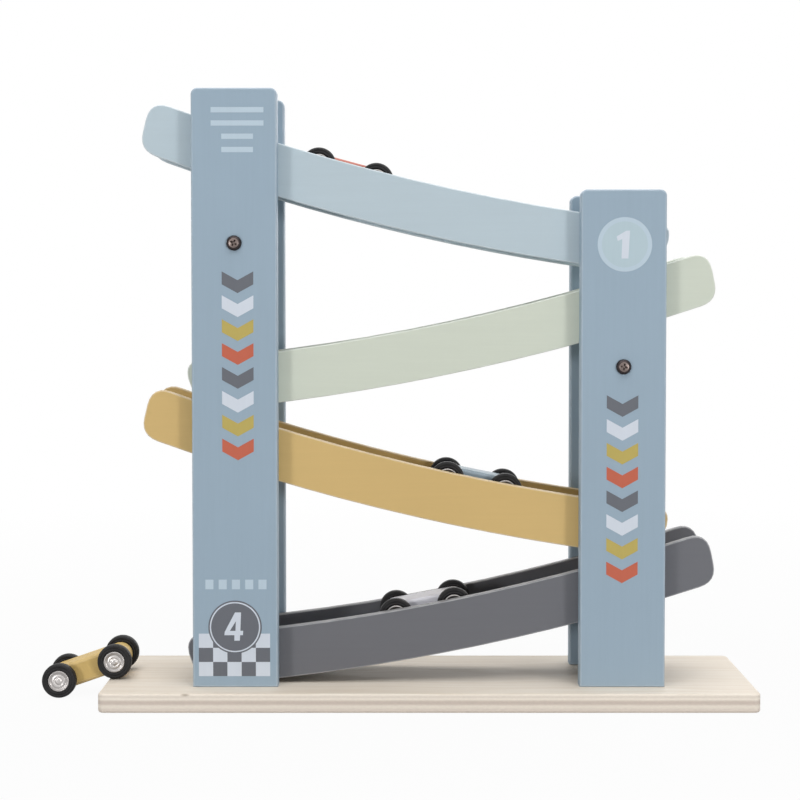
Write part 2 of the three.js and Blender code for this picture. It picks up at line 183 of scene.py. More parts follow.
class RacerColours(bpy.types.PropertyGroup):
    """Paints, prints and bare materials."""

    plywood: colour("Plywood", "Face veneer of the board", 234, 225, 212)
    plywood_dark: colour("Plywood grain", "Darker grain of the face veneer", 223, 210, 193)
    glue_line: colour("Inner plies", "Darker plies on the board's edges", 210, 184, 172)
    bare_wood: colour("Bare wood", "Rods across between the posts", 222, 200, 164)
    posts: colour("Posts", "Paint of the four posts", 150, 169, 184)
    track_1: colour("Top track", "Paint of the top track", 181, 196, 204)
    track_2: colour("Second track", "Paint of the second track", 203, 209, 195)
    track_3: colour("Third track", "Paint of the third track", 205, 175, 116)
    track_4: colour("Bottom track", "Paint of the bottom track", 106, 107, 112)
    red_car: colour("Red car", "Paint of the car on the top track", 180, 98, 78)
    blue_car: colour("Blue car", "Paint of the car on the third track", 150, 167, 179)
    grey_car: colour("Grey car", "Paint of the car on the bottom track", 230, 230, 238)
    mustard_car: colour("Mustard car", "Paint of the parked car", 206, 176, 110)
    print_grey: colour("Grey print", "Dark chevrons, squares and disc", 102, 105, 112)
    print_white: colour("White print", "Pale chevrons, squares and numbers", 207, 214, 224)
    print_mustard: colour("Mustard print", "Mustard chevrons", 184, 166, 92)
    print_red: colour("Red print", "Red chevrons", 190, 99, 76)
    print_pale: colour("Pale print", "Stripes and the ring of the upper disc", 184, 201, 213)
    print_blue: colour("Blue print", "Fill of the upper disc", 178, 197, 205)
    tyre: colour("Tyre", "Rubber of the tyres", 24, 23, 24)
    hub: colour("Hub", "Turned metal of the hubs", 192, 188, 186)
    hub_rim: colour("Hub rim", "Duller outer ring of the hubs", 164, 160, 158)
    bronze: colour("Bronzed steel", "Heads of the screws through the posts", 124, 112, 108)
    # Dark rim of the pan heads: painted shade, a darker copy of the head's metal for the dimmer reflection
    # round the dome's edge
    bronze_rim_shade: colour("Screw rim shade", "Painted dark reflection round the rims of those heads", 62, 56, 56)
    zinc: colour("Zinc", "Screws under the board", 190, 190, 192)


class RacerSizes(bpy.types.PropertyGroup):
    """Roundings and the sizes of the prints."""

    board_edge: length("Board edge", "Rounding of the board's edges", 1.4)
    post_edge: length("Post edge", "Rounding of the posts' edges", 1.0)
    panel_edge: length("Panel edge", "Rounding of the track panels' edges", 0.7)
    car_edge: length("Car edge", "Rounding of the car bodies' edges", 2.0)
    print_thickness: length("Print thickness", "Thickness of the printed ink", 0.05)
    chevron_width: length("Chevron width", "Width of a chevron", 18)
    chevron_drop: length("Chevron drop", "From a chevron's top corners to its notch", 5)
    chevron_side: length("Chevron side", "Height of a chevron's sides", 7.4)
    chevron_pitch: length("Chevron pitch", "From one chevron to the next", 13.63)
    disc_radius: length("Disc radius", "Radius of the numbered discs", 15.3)
    square: length("Square", "Side of a square of the chequer", 8.17)


class RacerSettings(bpy.types.PropertyGroup):
    """Everything about the racer that can be changed."""

    colours: PointerProperty(type=RacerColours)
    sizes: PointerProperty(type=RacerSizes)


def settings():
    return bpy.context.scene.racer


# Shader node groups


def put(tree, kind, inputs=None, **options):
    """A node with its options set and its inputs linked or given values."""
    made = tree.nodes.new(kind)
    for key, value in options.items():
        setattr(made, key, value)
    for key, value in (inputs or {}).items():
        if isinstance(value, bpy.types.NodeSocket):
            tree.links.new(value, made.inputs[key])
        else:
            made.inputs[key].default_value = value
    return made


def new_group(name, takes, gives):
    tree = bpy.data.node_groups.new(name, "ShaderNodeTree")
    for socket, kind in takes:
        tree.interface.new_socket(socket, in_out="INPUT", socket_type=kind)
    for socket, kind in gives:
        tree.interface.new_socket(socket, in_out="OUTPUT", socket_type=kind)
    return tree, tree.nodes.new("NodeGroupInput").outputs, tree.nodes.new("NodeGroupOutput").inputs


FINISH = (("Color", "NodeSocketColor"), ("Roughness", "NodeSocketFloat"), ("Height", "NodeSocketFloat"))


def scaled(tree, vector, scale):
    return put(tree, "ShaderNodeVectorMath", {0: vector, 1: scale}, operation="MULTIPLY").outputs[0]


def noise(tree, vector, scale, detail=2.0, roughness=0.5):
    return put(tree, "ShaderNodeTexNoise", {
        "Vector": vector, "Scale": scale, "Detail": detail, "Roughness": roughness}).outputs["Fac"]


def remap(tree, value, low, high, to_low, to_high):
    return put(tree, "ShaderNodeMapRange", {
        "Value": value, "From Min": low, "From Max": high,
        "To Min": to_low, "To Max": to_high}).outputs["Result"]


def maths(tree, operation, first, second=0.0):
    return put(tree, "ShaderNodeMath", {0: first, 1: second}, operation=operation).outputs[0]


def mixed(tree, factor, first, second, blend="MIX"):
    made = put(tree, "ShaderNodeMix", data_type="RGBA", blend_type=blend)
    for index, value in ((0, factor), (6, first), (7, second)):
        if isinstance(value, bpy.types.NodeSocket):
            tree.links.new(value, made.inputs[index])
        else:
            made.inputs[index].default_value = value
    return made.outputs[2]


def toned(tree, shade, value):
    """A colour made lighter or darker all over by a value near 1."""
    grey = put(tree, "ShaderNodeCombineColor", {0: value, 1: value, 2: value}).outputs[0]
    return mixed(tree, 1.0, shade, grey, "MULTIPLY")


def patches(tree, position, least):
    """Uneven patches for the paler edges (wear and painted sheen) and for dust, from the least up to 1."""
    return remap(tree, noise(tree, position, 130.0, 3.0), 0.3, 0.7, least, 1.0)


def paint_group():
    """Satin paint: faint grain under it, a slight orange peel, and edges made paler, partly by wear and
    partly as painted sheen.
    """
    tree, takes, gives = new_group("Satin paint", (
        ("Paint", "NodeSocketColor"), ("Wear and sheen", "NodeSocketColor"), ("Rubbing and sheen", "NodeSocketFloat"),
        ("Position", "NodeSocketVector"), ("Along grain", "NodeSocketVector"),
        ("Smoothest", "NodeSocketFloat")), FINISH)
    position = takes["Position"]
    clouds = remap(tree, noise(tree, position, 11.0), 0.25, 0.75, 0.98, 1.02)
    grain = noise(tree, scaled(tree, position, takes["Along grain"]), 1.0, 4.0, 0.6)
    streaks = remap(tree, grain, 0.25, 0.75, 0.982, 1.014)
    shade = toned(tree, takes["Paint"], maths(tree, "MULTIPLY", clouds, streaks))
    # Paler paint on the rounded edges: partly wear, partly a painted highlight for the light those edges
    # catch
    wear_and_sheen = maths(tree, "MULTIPLY", takes["Rubbing and sheen"], patches(tree, position, 0.5))
    tree.links.new(mixed(tree, wear_and_sheen, shade, takes["Wear and sheen"]), gives["Color"])
    peel = noise(tree, position, 1500.0, 2.0)
    spread = remap(tree, peel, 0.2, 0.8, 0.0, 0.12)
    tree.links.new(maths(tree, "ADD", takes["Smoothest"], spread), gives["Roughness"])
    tree.links.new(maths(tree, "ADD", maths(tree, "MULTIPLY", grain, 0.6), peel), gives["Height"])
    return tree


def plywood_group():
    """Birch plywood: long face grain above and below, plies and glue lines on the edges."""
    tree, takes, gives = new_group("Birch plywood", (
        ("Face", "NodeSocketColor"), ("Grain", "NodeSocketColor"), ("Glue", "NodeSocketColor"),
        ("Position", "NodeSocketVector"), ("Thickness", "NodeSocketFloat")), FINISH)
    position = takes["Position"]
    bend = noise(tree, scaled(tree, position, (6.0, 24.0, 0.0)), 1.0, 2.0)
    parts = put(tree, "ShaderNodeSeparateXYZ", {0: position}).outputs
    waved = maths(tree, "ADD", parts["Y"], maths(tree, "MULTIPLY", bend, 0.03))
    bands = put(tree, "ShaderNodeCombineXYZ", {
        "X": maths(tree, "MULTIPLY", parts["X"], 5.0),
        "Y": maths(tree, "MULTIPLY", waved, 210.0)}).outputs[0]
    figure = noise(tree, bands, 1.0, 5.0, 0.55)
    pores = noise(tree, scaled(tree, position, (60.0, 1700.0, 1700.0)), 1.0, 2.0)
    grain = maths(
        tree, "ADD", maths(tree, "MULTIPLY", figure, 0.75), maths(tree, "MULTIPLY", pores, 0.25))
    face = mixed(tree, remap(tree, grain, 0.36, 0.66, 0.0, 1.0), takes["Face"], takes["Grain"])
    waves = noise(tree, scaled(tree, position, (30.0, 30.0, 0.0)), 1.0, 2.0)
    wobble = maths(tree, "MULTIPLY", waves, 0.00035)
    level = maths(tree, "DIVIDE", maths(tree, "ADD", parts["Z"], wobble), takes["Thickness"])
    plies = put(tree, "ShaderNodeValToRGB", {"Fac": level})
    ramp = plies.color_ramp
    while len(ramp.elements) < len(PLIES):
        ramp.elements.new(0.5)
    for element, (place, value) in zip(ramp.elements, PLIES):
        element.position = place
        element.color = (value, value, value, 1.0)
    fibres = noise(tree, scaled(tree, position, (500.0, 500.0, 1500.0)), 1.0, 3.0)
    end_shade = maths(tree, "MULTIPLY", plies.outputs["Color"], remap(tree, fibres, 0.2, 0.8, 0.93, 1.03))
    pinkness = remap(tree, plies.outputs["Color"], 0.84, 1.0, 0.4, 0.05)
    pink = mixed(tree, pinkness, takes["Face"], takes["Glue"])
    ends = toned(tree, pink, end_shade)
    normal = tree.nodes.new("ShaderNodeNewGeometry").outputs["Normal"]
    upright = maths(tree, "ABSOLUTE", put(tree, "ShaderNodeSeparateXYZ", {0: normal}).outputs["Z"])
    flat = remap(tree, upright, 0.55, 0.8, 0.0, 1.0)
    shade = mixed(tree, flat, ends, face)
    away = put(tree, "ShaderNodeVectorMath", {0: position, 1: KNOT_PLACE}, operation="SUBTRACT")
    spot = put(tree, "ShaderNodeVectorMath", {0: scaled(tree, away.outputs[0], KNOT_STRETCH)},
               operation="LENGTH").outputs["Value"]
    knot = remap(tree, spot, 0.3, 1.0, 0.55, 0.0)
    tree.links.new(mixed(tree, knot, shade, KNOT_COLOUR), gives["Color"])
    tree.links.new(remap(tree, pores, 0.2, 0.8, 0.5, 0.68), gives["Roughness"])
    tree.links.new(maths(tree, "ADD", maths(tree, "MULTIPLY", pores, 0.6), fibres), gives["Height"])
    return tree


def turned_wood_group():
    """A bare turned rod: grain along it and a slightly fuzzy surface."""
    tree, takes, gives = new_group("Turned wood", (
        ("Wood", "NodeSocketColor"), ("Grain", "NodeSocketColor"), ("Position", "NodeSocketVector")), FINISH)
    grain = noise(tree, scaled(tree, takes["Position"], (420.0, 22.0, 420.0)), 1.0, 4.0, 0.6)
    shade = mixed(tree, remap(tree, grain, 0.35, 0.7, 0.0, 1.0), takes["Wood"], takes["Grain"])
    tree.links.new(shade, gives["Color"])
    tree.links.new(remap(tree, grain, 0.2, 0.8, 0.6, 0.75), gives["Roughness"])
    tree.links.new(grain, gives["Height"])
    return tree


def rubber_group():
    """Tyre rubber: fine speckle, a little dust in patches and a matte skin."""
    tree, takes, gives = new_group("Tyre rubber", (
        ("Rubber", "NodeSocketColor"), ("Dust", "NodeSocketColor"), ("Position", "NodeSocketVector")), FINISH)
    position = takes["Position"]
    speckle = noise(tree, position, 2600.0, 3.0)
    dusty = maths(tree, "MULTIPLY", patches(tree, position, 0.0), 0.05)
    shade = toned(tree, takes["Rubber"], remap(tree, speckle, 0.2, 0.8, 0.85, 1.2))
    tree.links.new(mixed(tree, dusty, shade, takes["Dust"]), gives["Color"])
    tree.links.new(remap(tree, noise(tree, position, 300.0), 0.3, 0.7, 0.48, 0.62), gives["Roughness"])
    tree.links.new(speckle, gives["Height"])
    return tree


def turned_metal_group():
    """Metal turned about its own Y axis: fine rings left by the tool, and soft smears."""
    tree, takes, gives = new_group("Turned metal", (
        ("Metal", "NodeSocketColor"), ("Position", "NodeSocketVector"), ("Rings", "NodeSocketFloat")), FINISH)
    position = takes["Position"]
    radius = put(tree, "ShaderNodeVectorMath", {0: scaled(tree, position, (1.0, 0.0, 1.0))},
                 operation="LENGTH").outputs["Value"]
    rings = maths(tree, "SINE", maths(tree, "MULTIPLY", radius, takes["Rings"]))
    smear = noise(tree, position, 420.0, 3.0)
    ringed = remap(tree, rings, -1.0, 1.0, 0.86, 1.0)
    level = maths(tree, "ADD", ringed, remap(tree, smear, 0.3, 0.7, -0.05, 0.05))
    tree.links.new(toned(tree, takes["Metal"], level), gives["Color"])
    tree.links.new(remap(tree, smear, 0.2, 0.8, 0.32, 0.46), gives["Roughness"])
    tree.links.new(rings, gives["Height"])
    return tree


GROUPS = {}


def group(maker):
    if maker not in GROUPS:
        GROUPS[maker] = maker()
    return GROUPS[maker]


# Materials


def material(name, maker, values, bump, depth, metallic=0.0, shine=0.3):
    """A material whose colour, roughness and relief come from one of the groups."""
    made = bpy.data.materials.new(name)
    made.use_nodes = True
    tree = made.node_tree
    shader = tree.nodes["Principled BSDF"]
    position = tree.nodes.new("ShaderNodeTexCoord").outputs["Object"]
    finish = tree.nodes.new("ShaderNodeGroup")
    finish.node_tree = group(maker)
    tree.links.new(position, finish.inputs["Position"])
    for key, value in values.items():
        finish.inputs[key].default_value = value
    relief = put(tree, "ShaderNodeBump", {
        "Strength": bump, "Distance": depth, "Height": finish.outputs["Height"]})
    tree.links.new(finish.outputs["Color"], shader.inputs["Base Color"])
    tree.links.new(finish.outputs["Roughness"], shader.inputs["Roughness"])
    tree.links.new(relief.outputs["Normal"], shader.inputs["Normal"])
    shader.inputs["Metallic"].default_value = metallic
    shader.inputs["Specular IOR Level"].default_value = shine
    return made


def opaque(shade):
    return (*shade, 1.0)


def paler(shade, share):
    return (*(value + (1 - value) * share for value in shade), 1.0)


ALONG_X = (22.0, 520.0, 520.0)
ALONG_Z = (520.0, 520.0, 22.0)


def paint(name, shade, along=ALONG_X, rubbing_and_sheen=0.0, smoothest=0.46, shine=0.3):
    return material(name, paint_group, {
        # The paler colour on the edges is partly wear and partly painted sheen
        "Paint": opaque(shade), "Wear and sheen": paler(shade, 0.5), "Rubbing and sheen": rubbing_and_sheen, "Along grain": along,
        "Smoothest": smoothest}, 0.12, 0.0001, shine=shine)


def paint_with_edges(name, shade, along, rubbing_and_sheen, **gloss):
    """Paint for the faces of a piece, and the same paint made paler for its edges, partly by wear and partly
    as painted sheen.
    """
    return paint(name, shade, along, **gloss), paint(f"{name}, edges with wear and painted sheen", shade, along, rubbing_and_sheen, **gloss)


def rubber():
    shade = settings().colours.tyre
    return material("Tyre rubber", rubber_group, {
        "Rubber": opaque(shade), "Dust": paler(shade, 0.3)}, 0.2, 0.0001, shine=0.2)


def turned_metal(name, shade, rings):
    values = {"Metal": opaque(shade), "Rings": rings}
    return material(name, turned_metal_group, values, 0.15, 0.00005, metallic=1.0)


# Meshes


def round_off(bm, rims, radius, steps):
    """Rounds edges, and gives the rounded faces the second material."""
    made = bmesh.ops.bevel(bm, geom=rims, offset=radius, segments=steps, profile=0.5, affect="EDGES")
    for face in made["faces"]:
        face.material_index = 1


def slab(outline, low, high, edge, across="Y", steps=3):
    """A sheet cut to an outline, with rounded edges; across is the axis of its thickness."""
    bm = bmesh.new()
    def corner(point, level):
        return (point[0], level, point[1]) if across == "Y" else (point[0], point[1], level)
    below = [bm.verts.new(corner(point, low)) for point in outline]
    above = [bm.verts.new(corner(point, high)) for point in outline]
    bm.faces.new(below)
    bm.faces.new(above[::-1])
    for i in range(len(outline)):
        j = (i + 1) % len(outline)
        bm.faces.new((below[i], above[i], above[j], below[j]))
    bmesh.ops.recalc_face_normals(bm, faces=bm.faces[:])
    if edge > 0:
        caps = [set(below), set(above)]
        rims = [e for e in bm.edges if any(set(e.verts) <= cap for cap in caps)]
        round_off(bm, rims, edge, steps)
    return bm


def rounded_copy(node, edge):
    """A solid's mesh with its triangles joined into faces and its sharp edges rounded."""
    bm = bmesh.new()
    bm.from_mesh(NODES[node].data)
    bmesh.ops.remove_doubles(bm, verts=bm.verts[:], dist=1e-6)
    bmesh.ops.dissolve_limit(bm, angle_limit=0.004, verts=bm.verts[:], edges=bm.edges[:])
    rims = [e for e in bm.edges if len(e.link_faces) == 2 and e.calc_face_angle() > 1.0]
    round_off(bm, rims, edge, 3)
    return bm


def lathe(profile, steps):
    """A turned shape about Y, from (radius, y) in metres up its outside; closed where it leaves the axis."""
    bm = bmesh.new()
    rings = []
    for radius, y in profile:
        if radius < 1e-7:
            rings.append([bm.verts.new((0, y, 0))])
            continue
        angles = (2 * math.pi * i / steps for i in range(steps))
        rings.append([bm.verts.new((radius * math.cos(a), y, radius * math.sin(a))) for a in angles])
    pairs = list(zip(rings, rings[1:]))
    if len(rings[0]) > 1 and len(rings[-1]) > 1:
        pairs.append((rings[-1], rings[0]))
    for first, second in pairs:
        for i in range(steps):
            j = (i + 1) % steps
            corners = [first[i % len(first)], first[j % len(first)],
                       second[j % len(second)], second[i % len(second)]]
            bm.faces.new(list(dict.fromkeys(corners)))
    bmesh.ops.recalc_face_normals(bm, faces=bm.faces[:])
    return bm


def to_mesh(name, bm, finishes, sharp=40):
    mesh = bpy.data.meshes.new(name)
    bm.to_mesh(mesh)
    bm.free()
    mesh.shade_smooth()
    mesh.set_sharp_from_angle(angle=math.radians(sharp))
    for finish in finishes if isinstance(finishes, tuple) else (finishes, finishes):
        mesh.materials.append(finish)
    return mesh


def stand(name, mesh, body, place=None):
    """An object for a mesh, in its place, riding on a body."""
    made = bpy.data.objects.new(name, mesh)
    bpy.context.scene.collection.objects.link(made)
    if place is not None:
        made.matrix_world = place
    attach(made, body)
    return made


def dress(node, mesh, place=None, flat_sides=True):
    """A finished piece that stands for one solid."""
    made = stand(f"{node}_finished", mesh, BODY_OF[node], place)
    if flat_sides:
        even = made.modifiers.new("Even shading", "WEIGHTED_NORMAL")
        even.keep_sharp = True
    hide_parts(node)
    return made


def middle(node):
    low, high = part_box(node)
    return (low + high) / 2


def arc(x, y, radius, start, sweep, steps):
    """Points on an arc from one end to the other, both ends included."""
    angles = (start + sweep * i / steps for i in range(steps + 1))
    return [(x + radius * math.cos(a), y + radius * math.sin(a)) for a in angles]


def rounded_corner(x, y, radius, start):
    return arc(x, y, radius, start, math.pi / 2, 8)


def circle(x, z, radius):
    return arc(x, z, radius, 0.0, 2 * math.pi, 96)[:-1]


# Operators, one for each piece or group of like pieces


class RacerBoard(bpy.types.Operator):
    """Plywood board with rounded corners and edges"""

    bl_idname = "racer.board"
    bl_label = "Board"

    def execute(self, context):
        low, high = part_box("base_board")
        x, y = high.x - BOARD_CORNER, high.y - BOARD_CORNER
        outline = []
        for i, (sx, sy) in enumerate(((1, 1), (-1, 1), (-1, -1), (1, -1))):
            outline += rounded_corner(sx * x, sy * y, BOARD_CORNER, i * math.pi / 2)
        shades = settings().colours
        finish = material("Birch plywood", plywood_group, {
            "Face": opaque(shades.plywood), "Grain": opaque(shades.plywood_dark),
            "Glue": opaque(shades.glue_line), "Thickness": high.z - low.z}, 0.2, 0.0001)
        bm = slab(outline, low.z, high.z, settings().sizes.board_edge, across="Z", steps=4)
        dress("base_board", to_mesh("Board", bm, finish))
        return {"FINISHED"}


class RacerPosts(bpy.types.Operator):
    """Painted posts with rounded top corners"""

    bl_idname = "racer.posts"
    bl_label = "Posts"

    def execute(self, context):
        # The posts' rounded edges take a little paler paint: partly wear, partly painted sheen
        finish = paint_with_edges("Post paint", settings().colours.posts, ALONG_Z, 0.25)
        for node in ("post_front_left", "post_back_left", "post_front_right", "post_back_right"):
            low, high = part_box(node)
            top = high.z - POST_CORNER
            outline = [(low.x, low.z), (high.x, low.z)]
            outline += rounded_corner(high.x - POST_CORNER, top, POST_CORNER, 0)
            outline += rounded_corner(low.x + POST_CORNER, top, POST_CORNER, math.pi / 2)
            bm = slab(outline, low.y, high.y, settings().sizes.post_edge, steps=4)
            dress(node, to_mesh("Post", bm, finish))
        return {"FINISHED"}


class RacerTracks(bpy.types.Operator):
    """Curved track panels, with the floors and end stops between them"""

    bl_idname = "racer.tracks"
    bl_label = "Tracks"

    def execute(self, context):
        for track in TRACK_NAMES:
            shade = getattr(settings().colours, track)
            # The rounded edges of the track pieces take the paler paint: partly wear, partly a painted
            # highlight from the overhead light
            finish = paint_with_edges(f"Paint of {track}", shade, ALONG_X, 0.5)
            for node in sorted(NODES):
                if not node.startswith(track):
                    continue
                panel = node.endswith("panel")
                bm = rounded_copy(node, settings().sizes.panel_edge * (1.0 if panel else 0.5))
                bm.normal_update()
                # The panels' upward faces take the paler edge paint too: a painted highlight for their tops
                # lit from above
                for face in bm.faces:
                    if panel and face.normal.z > 0.6:
                        face.material_index = 1
                dress(node, to_mesh("Track piece", bm, finish))
        return {"FINISHED"}


class RacerRods(bpy.types.Operator):
    """Bare turned rods across between the posts"""

    bl_idname = "racer.rods"
    bl_label = "Cross rods"

    def execute(self, context):
        shade = settings().colours.bare_wood
        finish = material("Turned wood", turned_wood_group, {
            "Wood": opaque(shade), "Grain": (*(v * 0.72 for v in shade), 1.0)}, 0.3, 0.0001)
        for node in ("cross_rod_left", "cross_rod_right"):
            low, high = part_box(node)
            radius, half = (high.x - low.x) / 2, (high.y - low.y) / 2
            bm = lathe([(0, -half), (radius - ROD_EASE, -half), (radius, ROD_EASE - half),
                        (radius, half - ROD_EASE), (radius - ROD_EASE, half), (0, half)], 48)
            dress(node, to_mesh("Cross rod", bm, finish), Matrix.Translation(middle(node)))
        return {"FINISHED"}


class RacerScrews(bpy.types.Operator):
    """Pan-head screws with a cross recess in the posts, and countersunk ones under the board"""

    bl_idname = "racer.screws"
    bl_label = "Screws"

    def cross(self, width, reach, top, bottom):
        """The space that a cross-head driver takes, tapering inwards along Y."""
        bm = bmesh.new()
        for turn in (0.0, math.pi / 2):
            spin = Matrix.Rotation(turn, 3, "Y")
            rows = []
            for y, half, arm in ((top, width, reach), (bottom, width * 0.75, reach * 0.35)):
                rows.append([bm.verts.new(spin @ Vector((sx * arm, y, sz * half)))
                             for sx, sz in ((-1, -1), (1, -1), (1, 1), (-1, 1))])
            outer, inner = rows
            bm.faces.new(outer)
            bm.faces.new(inner[::-1])
            for i in range(4):
                j = (i + 1) % 4
                bm.faces.new((outer[i], inner[i], inner[j], outer[j]))
        bmesh.ops.recalc_face_normals(bm, faces=bm.faces[:])
        return bm

    def recessed(self, name, bm, cutter, finish, rim_finish, rim):
        """The screw's mesh with the cross cut out of its head, and its rim in a finish of its own."""
        plain = bpy.data.objects.new(name, to_mesh(name, bm, (finish, rim_finish)))
        tool = bpy.data.objects.new("Recess", to_mesh("Recess", cutter, finish))
        for made in (plain, tool):
            bpy.context.scene.collection.objects.link(made)
        cut = plain.modifiers.new("Recess", "BOOLEAN")
        cut.object = tool
        cut.operation = "DIFFERENCE"
        cut.solver = "EXACT"
        cut.use_self = True
        evaluated = plain.evaluated_get(bpy.context.evaluated_depsgraph_get())
        mesh = bpy.data.meshes.new_from_object(evaluated)
        mesh.set_sharp_from_angle(angle=math.radians(35))
        for face in mesh.polygons:
            face.material_index = 1 if math.hypot(face.center.x, face.center.z) > rim else 0
        for made in (plain, tool):
            bpy.data.objects.remove(made)
        return mesh

    def execute(self, context):
        shades = settings().colours
        bronze = turned_metal("Bronzed steel", shades.bronze, TOOL_RINGS)
        profile = [(PAN_HEAD_RADIUS * r, -PAN_HEAD_HEIGHT * y) for r, y in PAN_HEAD]
        profile += [(SCREW_SHANK, 0), (SCREW_SHANK, PAN_SHANK_LENGTH), (0, PAN_SHANK_LENGTH + PAN_POINT)]
        cutter = self.cross(width=0.55 * MM, reach=2.5 * MM, top=-3.4 * MM, bottom=-0.9 * MM)
        # The pan heads' outer ring is painted shade: a darker copy of the head's metal for the dimmer
        # reflection round the dome
        dark = turned_metal("Bronzed steel rim, painted shade", shades.bronze_rim_shade, TOOL_RINGS)
        mesh = self.recessed("Pan head screw", lathe(profile, 48), cutter, bronze, dark, PAN_RIM)
        for side, turn in (("front", 0.0), ("back", math.pi)):
            for hand in ("left", "right"):
                node = f"post_screw_{side}_{hand}"
                post_low, post_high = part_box(f"post_{side}_{hand}")
                place = middle(node)
                place.y = post_low.y if side == "front" else post_high.y
                twist = Matrix.Rotation(SCREW_TURNS[hand], 4, "Y")
                dress(node, mesh, Matrix.Translation(place) @ Matrix.Rotation(turn, 4, "Z") @ twist, False)
        zinc = turned_metal("Zinc plate", shades.zinc, TOOL_RINGS)
        low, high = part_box("base_screw_front_left")
        long = high.z - low.z
        profile = [(0, 0), (SUNK_HEAD_RADIUS * 0.97, 0), (SUNK_HEAD_RADIUS, SUNK_RIM),
                   (SCREW_SHANK, SUNK_HEAD_DEPTH), (SCREW_SHANK, long - SUNK_POINT), (0, long)]
        cutter = self.cross(width=0.5 * MM, reach=2.1 * MM, top=-0.5 * MM, bottom=1.7 * MM)
        mesh = self.recessed("Countersunk screw", lathe(profile, 48), cutter, zinc, zinc, SUNK_HEAD_RADIUS)
        for node in sorted(NODES):
            if node.startswith("base_screw"):
                place = middle(node)
                place.z = low.z
                dress(node, mesh, Matrix.Translation(place) @ Matrix.Rotation(math.pi / 2, 4, "X"), False)
        return {"FINISHED"}


class RacerCars(bpy.types.Operator):
    """Round-ended car bodies"""

    bl_idname = "racer.cars"
    bl_label = "Car bodies"

    def execute(self, context):
        for car in CAR_NAMES:
            node = f"{car}_body"
            front, rear = middle(f"{car}_front_axle"), middle(f"{car}_rear_axle")
            low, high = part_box(node)
            half = (front - rear).length / 2
            outline = []
            for x, start in ((half, -math.pi / 2), (-half, math.pi / 2)):
                outline += arc(x, 0.0, CAR_END_RADIUS, start, math.pi, 24)
            bm = slab(outline, low.y, high.y, settings().sizes.car_edge, steps=4)
            shade = getattr(settings().colours, car)
            # The car body's rounded edges take a little paler paint: partly wear, partly painted sheen
            finish = paint_with_edges(f"Paint of {car}", shade, ALONG_X, 0.12, smoothest=0.42, shine=0.3)
            along = front - rear
            tilt = Matrix.Rotation(math.atan2(-along.z, along.x), 4, "Y")
            dress(node, to_mesh("Car body", bm, finish), Matrix.Translation((front + rear) / 2) @ tilt)
        return {"FINISHED"}


class RacerWheels(bpy.types.Operator):
    """Axles with turned hubs, and the tyres on them"""

    bl_idname = "racer.wheels"
    bl_label = "Wheels"

    def turned(self, half, steps, between=()):
        """A turned shape that is the same at both ends, from one half in millimetres."""
        profile = [(r, -y) for r, y in half] + list(between) + [(r, y) for r, y in reversed(half)]
        return lathe([(r * MM, y * MM) for r, y in profile], steps)

    def execute(self, context):
        silver = turned_metal("Turned hub", settings().colours.hub, HUB_RINGS)
        dull = turned_metal("Hub rim", settings().colours.hub_rim, HUB_RINGS)
        bm = self.turned(HUB_FACE + HUB_BACK, 64)
        for ring in bm.faces:
            spot = ring.calc_center_median()
            ring.material_index = 1 if math.hypot(spot.x, spot.z) > HUB_RIM else 0
        axle = to_mesh("Axle with hubs", bm, (silver, dull), 50)
        tyre = to_mesh("Tyre", self.turned(TYRE_WALL, 72, [TYRE_TREAD]), rubber(), 60)
        for node in sorted(NODES):
            if node.endswith("_axle"):
                dress(node, axle, Matrix.Translation(middle(node)), False)
            elif node.endswith("_tyre"):
                dress(node, tyre, Matrix.Translation(middle(node)), False)
        return {"FINISHED"}


